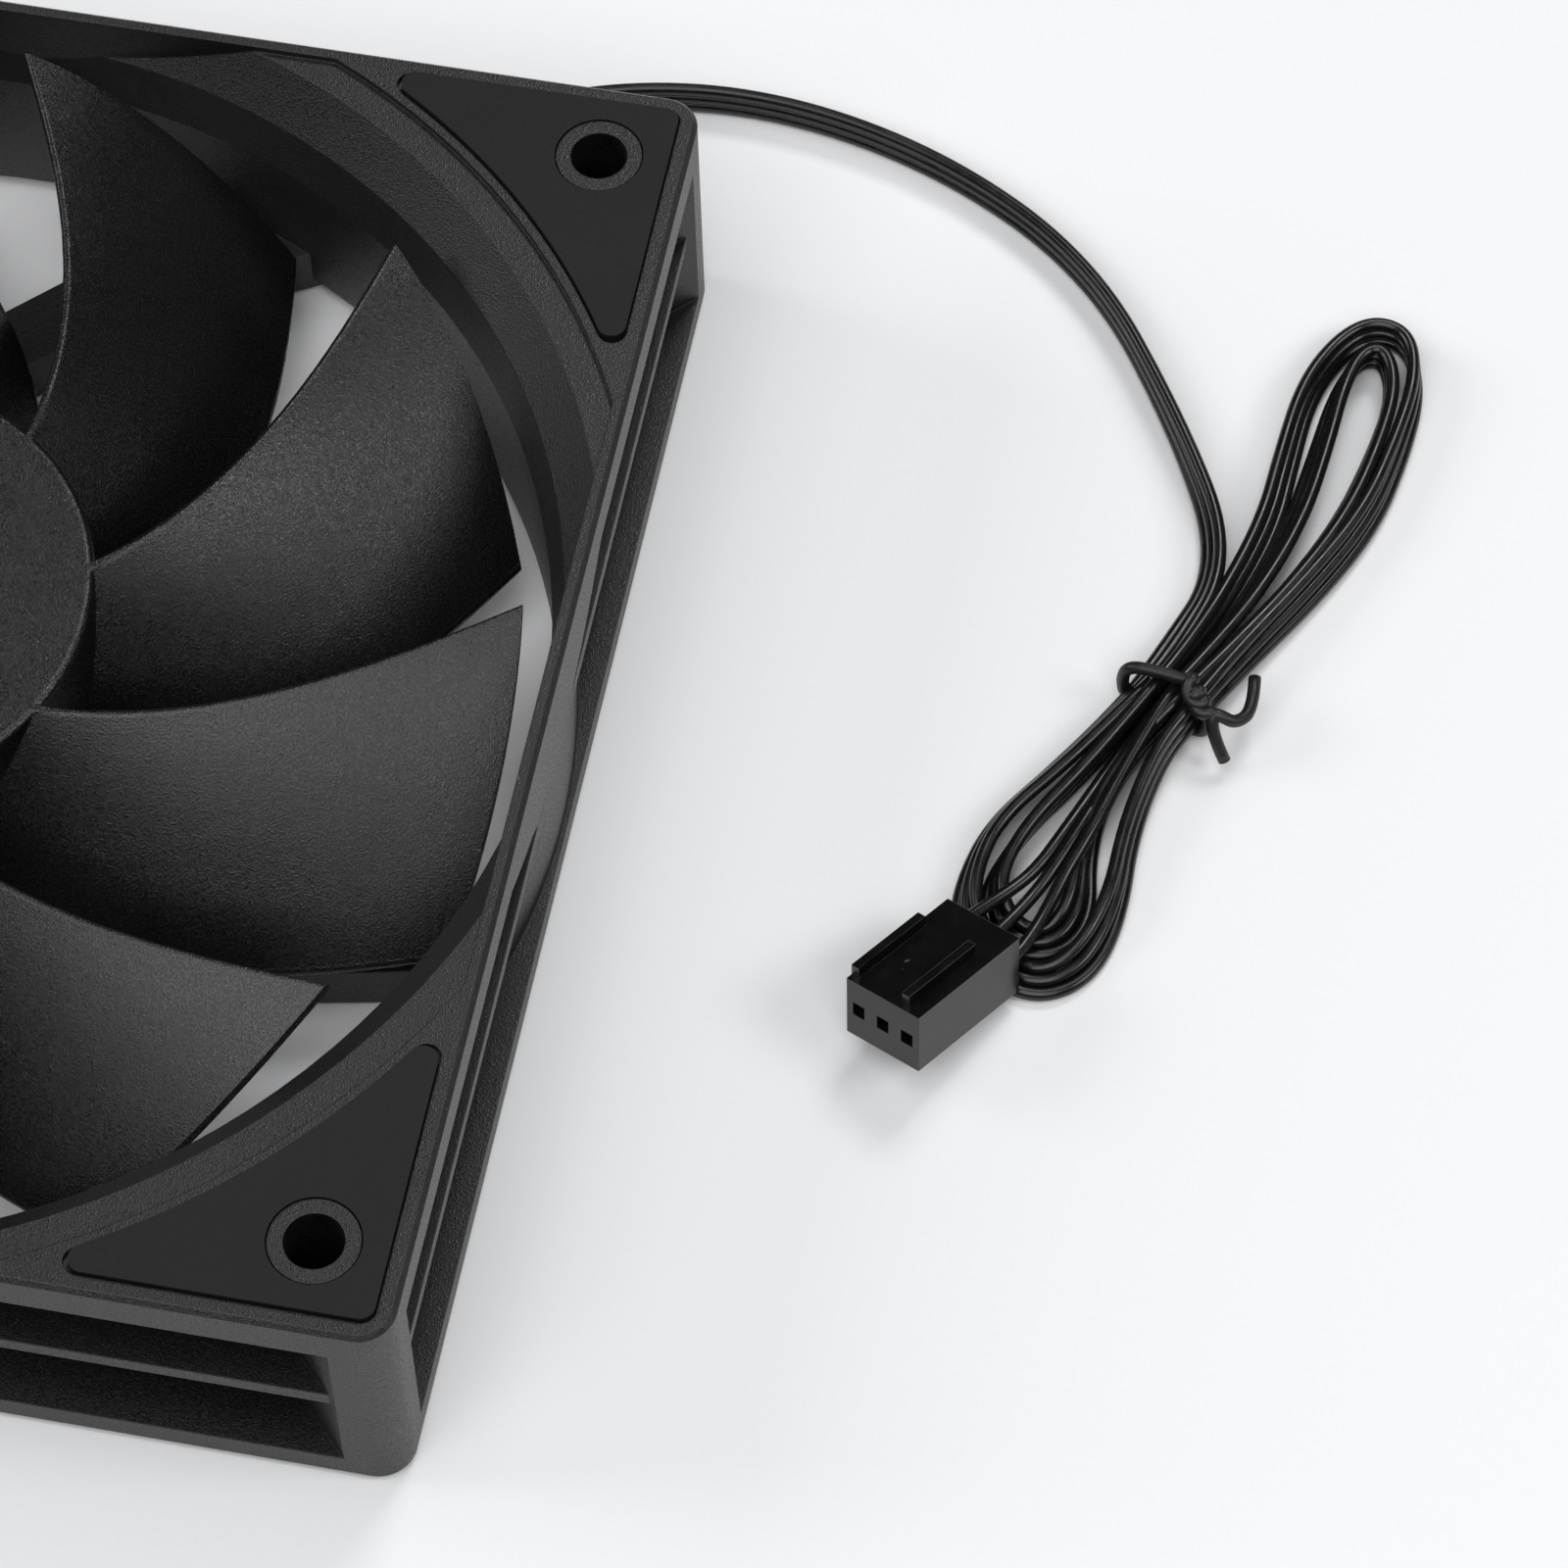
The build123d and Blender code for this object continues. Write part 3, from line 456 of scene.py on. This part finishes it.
def flat_cable():
    """The free cable, from the frame's side through the tied hank, its wires parting at the socket."""
    rows = FREE_RUN + FIRST_LOWER + FIRST_UPPER + SECOND_LOWER + SECOND_UPPER + TAIL_RUN
    points = [Vector(row[:3]) * MM for row in rows]
    points += [REAR + ALONG * out * MM for out in (5.0, -2.0)]
    line = smooth_line("cable_route", points)
    turn = np.radians(along_route([row[3] for row in rows] + [-SOCKET_ROLL, -SOCKET_ROLL], len(line)))
    steps = np.linalg.norm(np.diff(line, axis=0), axis=1)
    to_end = np.append(np.cumsum(steps[::-1])[::-1], 0)
    ease = np.clip(1 - (to_end - FAN_OUT_START) / FAN_OUT_LENGTH, 0, 1)
    pitch = FLAT_PITCH + (PIN_PITCH - FLAT_PITCH) * ease * ease * (3 - 2 * ease)
    cable = three_wires("flat_cable", line, turn, pitch)
    wear(cable, JACKET)
    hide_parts("cable_lead", "cable_hank", "cable_tail")
    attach(cable, "housing")
    return cable, line


def held_lead():
    """The cable inside the frame, on its edge in its slot, from the board to the frame's side."""
    line = smooth_line("lead_route", [Vector(point) * MM for point in HELD_RUN])
    on_edge = np.full(len(line), math.pi / 2)
    lead = three_wires("held_lead", line, on_edge, np.full(len(line), FLAT_PITCH))
    wear(lead, JACKET)
    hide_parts("motor_lead")
    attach(lead, "housing")


# ---------------------------------------------------------------- wire tie
# Points in millimetres: left across the bundle, up from the floor, and forward along the bundle.
TIE_RING = [
    (-1.6, 5.7, 1.0), (1.4, 5.6, 0.2), (3.6, 5.4, -0.6), (4.1, 3.2, -0.8), (3.7, 0.65, -0.6),
    (0.0, 0.65, -0.3), (-3.7, 0.7, -0.1), (-4.3, 3.0, 0.0), (-3.5, 5.2, 0.3),
]
TIE_FIRST_TAIL = [(-5.3, 4.9, 0.1), (-6.5, 4.2, 0.5), (-6.9, 3.8, 2.6), (-5.2, 3.9, 5.4)]
TIE_SECOND_TAIL = [(-5.0, 4.1, -1.1), (-6.9, 1.4, -1.5)]
TWIST_START = (-2.0, 6.0, 0.6)
TWIST_HEADING = (-0.85, -0.4, -0.3)
TWIST_SWING = (0.72, 0.4, 0.85)
TWIST_POINTS = 9
TWIST_STEP = 0.3
POINTS_A_TURN = 6


def twisted_end(phase):
    """One of the two ends where they wind round each other."""
    points = []
    for k in range(TWIST_POINTS):
        angle = phase + k * 2 * math.pi / POINTS_A_TURN
        round_about = (math.sin(angle), math.cos(angle), math.cos(angle))
        run = TWIST_STEP * k
        points.append(tuple(at + way * run + swing * turn for at, way, swing, turn in
                            zip(TWIST_START, TWIST_HEADING, TWIST_SWING, round_about)))
    return points


def wire_tie():
    """One sleeved wire round the bundle, its ends twisted together and left sticking out."""
    along = Vector((math.cos(TIE_HEADING), math.sin(TIE_HEADING), 0))
    left = Vector((-along.y, along.x, 0))

    def place(across, height, forward):
        return TIE_MIDDLE + left * across * MM + along * forward * MM + Vector((0, 0, height * MM))

    start = TIE_FIRST_TAIL[::-1] + twisted_end(0.0)[::-1]
    path = start + TIE_RING + twisted_end(math.pi) + TIE_SECOND_TAIL
    line = smooth_line("tie_route", [place(*point) for point in path], 8)
    tie = new_piece("wire_tie", merged_mesh("wire_tie", [wire_tube(line, TIE_WIRE / 2, 14)]))
    wear(tie, TIE_SLEEVE)
    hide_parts("twist_tie")
    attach(tie, "housing")
    return tie


# ---------------------------------------------------------------- socket
def box_tool(size, middle):
    """A block of a size at a place, ready to join to or cut from another piece."""
    deselect()
    bpy.ops.mesh.primitive_cube_add(size=1, location=(0, 0, 0))
    block = bpy.context.active_object
    block.data.transform(Matrix.Translation(middle) @ Matrix.Diagonal((*size, 1)))
    return block


def combine(piece, tool, operation):
    cut = piece.modifiers.new("combine", "BOOLEAN")
    cut.object, cut.operation, cut.solver = tool, operation, "EXACT"
    apply_modifiers(piece)
    bpy.data.objects.remove(tool)


def ease_edges(piece, width, angle=35):
    bevel = piece.modifiers.new("eased", "BEVEL")
    bevel.width, bevel.segments = width, 2
    bevel.limit_method, bevel.angle_limit = "ANGLE", math.radians(angle)
    apply_modifiers(piece)


def moulding_mark(top):
    """A shallow round left by the mould, as a tool to cut with."""
    deselect()
    bpy.ops.mesh.primitive_cylinder_add(vertices=32, radius=MARK_RADIUS, depth=MARK_DEPTH,
                                        location=(-0.7 * MM, -8.3 * MM, top))
    mark = bpy.context.active_object
    mark.data.transform(mark.matrix_world)
    mark.matrix_world = Matrix.Identity(4)
    return mark


def socket():
    """Three-pin socket: a block with three cavities, two rails on top and a moulding mark."""
    width, top = 3 * PIN_PITCH, SOCKET_HEIGHT / 2
    body = box_tool((width, SOCKET_LENGTH, SOCKET_HEIGHT), (0, -SOCKET_LENGTH / 2, 0))
    body.name = "socket_housing"
    rail_middle = -SOCKET_LENGTH + RAIL_MOUTH_GAP + RAIL_LENGTH / 2
    for x in (-width / 2 + 0.4 * MM, width / 2 - 1.9 * MM):
        rail = box_tool((RAIL_WIDTH, RAIL_LENGTH, RAIL_HEIGHT), (x, rail_middle, top + RAIL_LIFT))
        combine(body, rail, "UNION")
    for wire in (-1, 0, 1):
        x = wire * PIN_PITCH
        combine(body, box_tool((CAVITY, 2 * CAVITY_DEPTH, CAVITY), (x, 0, 0)), "DIFFERENCE")
        combine(body, box_tool((PIN_HOLE, 3 * MM, PIN_HOLE), (x, -SOCKET_LENGTH, 0)), "DIFFERENCE")
    combine(body, moulding_mark(top), "DIFFERENCE")
    ease_edges(body, SOCKET_EDGE)
    turn = Matrix((ACROSS, ALONG, ABOVE)).transposed().to_4x4()
    body.data.transform(Matrix.Translation(REAR) @ turn)
    wear(body, NYLON)
    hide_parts("connector_housing")
    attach(body, "housing")
    return body


look()
studio()
cable, cable_line = flat_cable()
held_lead()
tie = wire_tie()
plug = socket()
